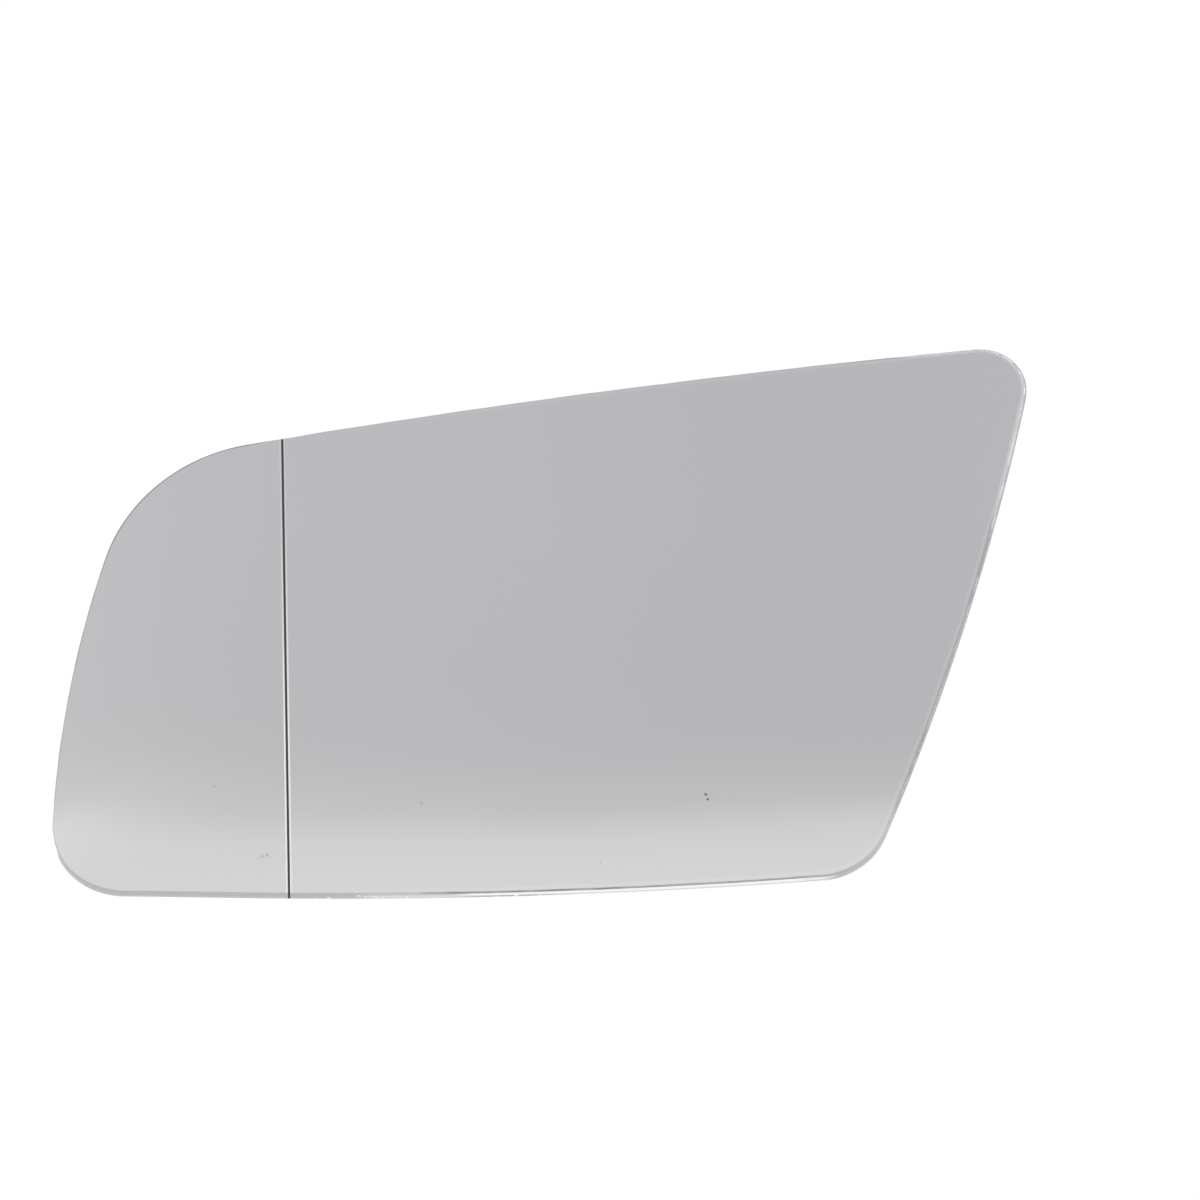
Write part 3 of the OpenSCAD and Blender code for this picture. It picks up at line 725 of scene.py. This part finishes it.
class MakePane(bpy.types.Operator):
    """Make the mirror pane with its ground edge."""
    bl_idname = "mirror_glass.pane"
    bl_label = "Mirror pane"

    def execute(self, context):
        """Rings from the middle to the arris, round the edge and back: on a face a ring is the
        arris's inner line drawn in by a share; on the edge it is the outline itself, each point
        inset along its normal and set back by its depth."""
        pane = context.scene.mirror_pane
        line, normal = outline(pane, CORNER_STEPS, SIDE_STEPS)
        share = np.linspace(0, 1, RINGS + 1)[1:]
        front = (pane.arris * arris_share(line, normal) + pane.keep_in)[:, None]
        back = pane.arris + pane.keep_in
        flat = np.array([(line - front * normal) * s for s in share] +
                        [line - pane.keep_in * normal] * 2 +
                        [(line - back * normal) * s for s in share[::-1]])
        edge = np.array([pane.arris, pane.thickness - pane.arris])
        depth = np.concatenate([0 * share, edge, 0 * share + pane.thickness])[:, None]
        x, z = flat[..., 0], flat[..., 1]
        rows = np.stack([x, behind_face(pane, x, z, depth), z], -1)
        front_reach, back_reach = (((line - inset * normal) * normal).sum(1)
                                   for inset in (front, back))
        inward = (1 - share)[:, None]
        rim = np.concatenate([inward * front_reach, np.zeros((2, len(line))),
                              inward[::-1] * back_reach])
        measures = {"depth": np.repeat(depth / pane.thickness, len(line), 1), "rim": rim}
        parts = [0] * (RINGS - 1) + [1, 2, 1] + [3] * (RINGS - 1)
        poles = [(0, float(behind_face(pane, 0, 0, d)), 0) for d in (0, pane.thickness)]
        mesh = closed_grid("mirror_pane", rows, *poles, parts, measures)
        mesh.set_sharp_from_angle(angle=math.radians(20))
        finishes = [mirror_finish(pane), arris_finish(pane), edge_finish(pane),
                    back_coat_finish(pane)]
        add_piece(mesh, "silvered_glass", finishes, "mirror_glass")
        return {"FINISHED"}


class FinishPlate(bpy.types.Operator):
    """Give the backing plate its moulded finish."""
    bl_idname = "mirror_glass.plate"
    bl_label = "Backing plate"

    def execute(self, context):
        dress("backing_plate", plastic_finish(context.scene.mirror_back))
        return {"FINISHED"}


class FinishHeater(bpy.types.Operator):
    """Give the heating film and its conductor their finish."""
    bl_idname = "mirror_glass.heater"
    bl_label = "Heater"

    def execute(self, context):
        back = context.scene.mirror_back
        dress("heater_film", film_finish(back))
        dress("heater_track", conductor_finish(back))
        return {"FINISHED"}


class FinishTerminals(bpy.types.Operator):
    """Give the blade terminals and their rivets their finish."""
    bl_idname = "mirror_glass.terminals"
    bl_label = "Terminals"

    def execute(self, context):
        back = context.scene.mirror_back
        blade = metal_finish("tinned brass", back.brass[:], 0.3)
        head = metal_finish("rivet metal", back.rivet[:], 0.34)
        for level in ("upper", "lower"):
            dress("terminal_" + level, blade)
            dress("rivet_" + level, head)
        return {"FINISHED"}


class SetStudio(bpy.types.Operator):
    """Set the floor, the light and the camera."""
    bl_idname = "mirror_glass.studio"
    bl_label = "Studio"

    def execute(self, context):
        studio = context.scene.mirror_studio
        self.floor(studio)
        self.world(context, studio)
        for lamp in LAMPS:
            self.lamp(*lamp)
        self.camera(context, studio)
        context.scene.view_settings.view_transform = "Standard"
        return {"FINISHED"}

    def floor(self, studio):
        """A level sheet far below, also below a camera that looks up, which shows plain white to
        the camera and to mirrors."""
        corners = [(x, y, studio.floor_z) for x, y in (
            (-FLOOR_REACH, -FLOOR_REACH), (FLOOR_REACH, -FLOOR_REACH),
            (FLOOR_REACH, FLOOR_REACH), (-FLOOR_REACH, FLOOR_REACH))]
        mesh = bpy.data.meshes.new("studio_floor")
        mesh.from_pydata(corners, [], [(0, 1, 2, 3)])
        f = Finish("pale floor", (0.85, 0.85, 0.85), roughness=0.8)
        rays = f.node("ShaderNodeLightPath").outputs
        white = f.node("ShaderNodeEmission", None, {"Color": WHITE, "Strength": 1.0})
        camera, glossy = (Signal(f, rays[kind]) for kind in ("Is Camera Ray", "Is Glossy Ray"))
        mixed = f.node("ShaderNodeMixShader", None,
                       {0: camera.higher_of(glossy), 1: f.surface.outputs["BSDF"],
                        2: white.outputs["Emission"]})
        out = next(n for n in f.tree.nodes if n.type == "OUTPUT_MATERIAL")
        f.tree.links.new(mixed.outputs[0], out.inputs["Surface"])
        mesh.materials.append(f.material)
        sheet = bpy.data.objects.new("studio_floor", mesh)
        bpy.context.scene.collection.objects.link(sheet)

    def world(self, context, studio):
        """White for the camera, even light on all surfaces, and the room for mirrors."""
        world = bpy.data.worlds.new("studio")
        world.use_nodes = True
        context.scene.world = world
        w = Shader(world.node_tree)
        for node in list(w.tree.nodes):
            w.tree.nodes.remove(node)
        direction = w.node("ShaderNodeTexCoord").outputs["Generated"]
        axes = w.node("ShaderNodeSeparateXYZ", None, {"Vector": direction})
        room = self.room(w, Signal(w, axes.outputs["X"]), Signal(w, axes.outputs["Z"]))
        rays = w.node("ShaderNodeLightPath").outputs
        seen, mirrored, even = (
            w.node("ShaderNodeBackground", None, {"Color": colour, "Strength": strength}).outputs[0]
            for colour, strength in ((WHITE, 1.0), (room, 1.0), (WHITE, studio.ambient)))
        indoor = w.node("ShaderNodeMixShader", None,
                        {0: rays["Is Glossy Ray"], 1: even, 2: mirrored})
        both = w.node("ShaderNodeMixShader", None,
                      {0: rays["Is Camera Ray"], 1: indoor.outputs[0], 2: seen})
        w.node("ShaderNodeOutputWorld", None, {"Surface": both.outputs[0]})

    def room(self, w, across, up):
        """The room's colour in a direction: white low down and pale grey above, by a ramp over
        the height, which shifts to both sides by curves of its own low down and high up. The
        upper part also brightens by a curve."""
        left, right = (0 - across).higher_of(0), across.higher_of(0)

        def curve(left_share, left_square, right_share, right_square):
            return (left * (left_share + left * left_square)
                    + right * (right_share + right * right_square))

        low, high = curve(*LOW_SHIFT), curve(*HIGH_SHIFT)
        height = up - low - (high - low) * up.rises(*SHIFT_Z)
        return w.scaled(w.ramp(ROOM, height), 1 + curve(*BRIGHTER) * up.rises(*BRIGHTER_Z))

    def lamp(self, name, place, size, power):
        light = bpy.data.lights.new(name, "AREA")
        light.size = size
        light.energy = power
        lamp = bpy.data.objects.new(name, light)
        lamp.location = place
        lamp.rotation_mode = "QUATERNION"
        lamp.rotation_quaternion = lamp.location.to_track_quat("Z", "Y")
        bpy.context.scene.collection.objects.link(lamp)

    def camera(self, context, studio):
        """A long lens whose picture's middle lies right of and above the middle of the face."""
        lift = studio.elevation
        ahead = np.array([0.0, math.cos(lift), -math.sin(lift)])
        up = np.array([0.0, math.sin(lift), math.cos(lift)])
        aim = np.array([studio.aim_right, FACE_Y, 0.0]) + studio.aim_up * up
        data = bpy.data.cameras.new("camera")
        data.sensor_width = 36.0
        data.lens = data.sensor_width * studio.distance / studio.frame_width
        data.clip_end = 100.0
        camera = bpy.data.objects.new("camera", data)
        camera.location = aim - studio.distance * ahead
        camera.rotation_euler = (math.pi / 2 - lift, 0.0, 0.0)
        context.scene.collection.objects.link(camera)
        context.scene.camera = camera


class MirrorPanel(bpy.types.Panel):
    """Lists the pieces and their settings."""
    bl_idname = "VIEW3D_PT_mirror_glass"
    bl_label = "Mirror glass"
    bl_space_type = "VIEW_3D"
    bl_region_type = "UI"
    bl_category = "Mirror glass"

    def draw(self, context):
        for operator in STEPS:
            self.layout.operator(operator.bl_idname)
        for group in SETTINGS:
            settings = getattr(context.scene, group)
            box = self.layout.box()
            for name in settings.__annotations__:
                box.prop(settings, name)


SETTINGS = {"mirror_pane": PaneSettings, "mirror_back": BackSettings,
            "mirror_studio": StudioSettings}
STEPS = (MakePane, FinishPlate, FinishHeater, FinishTerminals, SetStudio)
CLASSES = (*SETTINGS.values(), *STEPS, MirrorPanel)


def register():
    for cls in CLASSES:
        bpy.utils.register_class(cls)
    for name, group in SETTINGS.items():
        setattr(bpy.types.Scene, name, bpy.props.PointerProperty(type=group))


def unregister():
    for name in SETTINGS:
        delattr(bpy.types.Scene, name)
    for cls in reversed(CLASSES):
        bpy.utils.unregister_class(cls)


def main():
    """Builds everything in order."""
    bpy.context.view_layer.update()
    register()
    bpy.ops.mirror_glass.pane()
    bpy.ops.mirror_glass.plate()
    bpy.ops.mirror_glass.heater()
    bpy.ops.mirror_glass.terminals()
    bpy.ops.mirror_glass.studio()


if __name__ == "__main__":
    main()
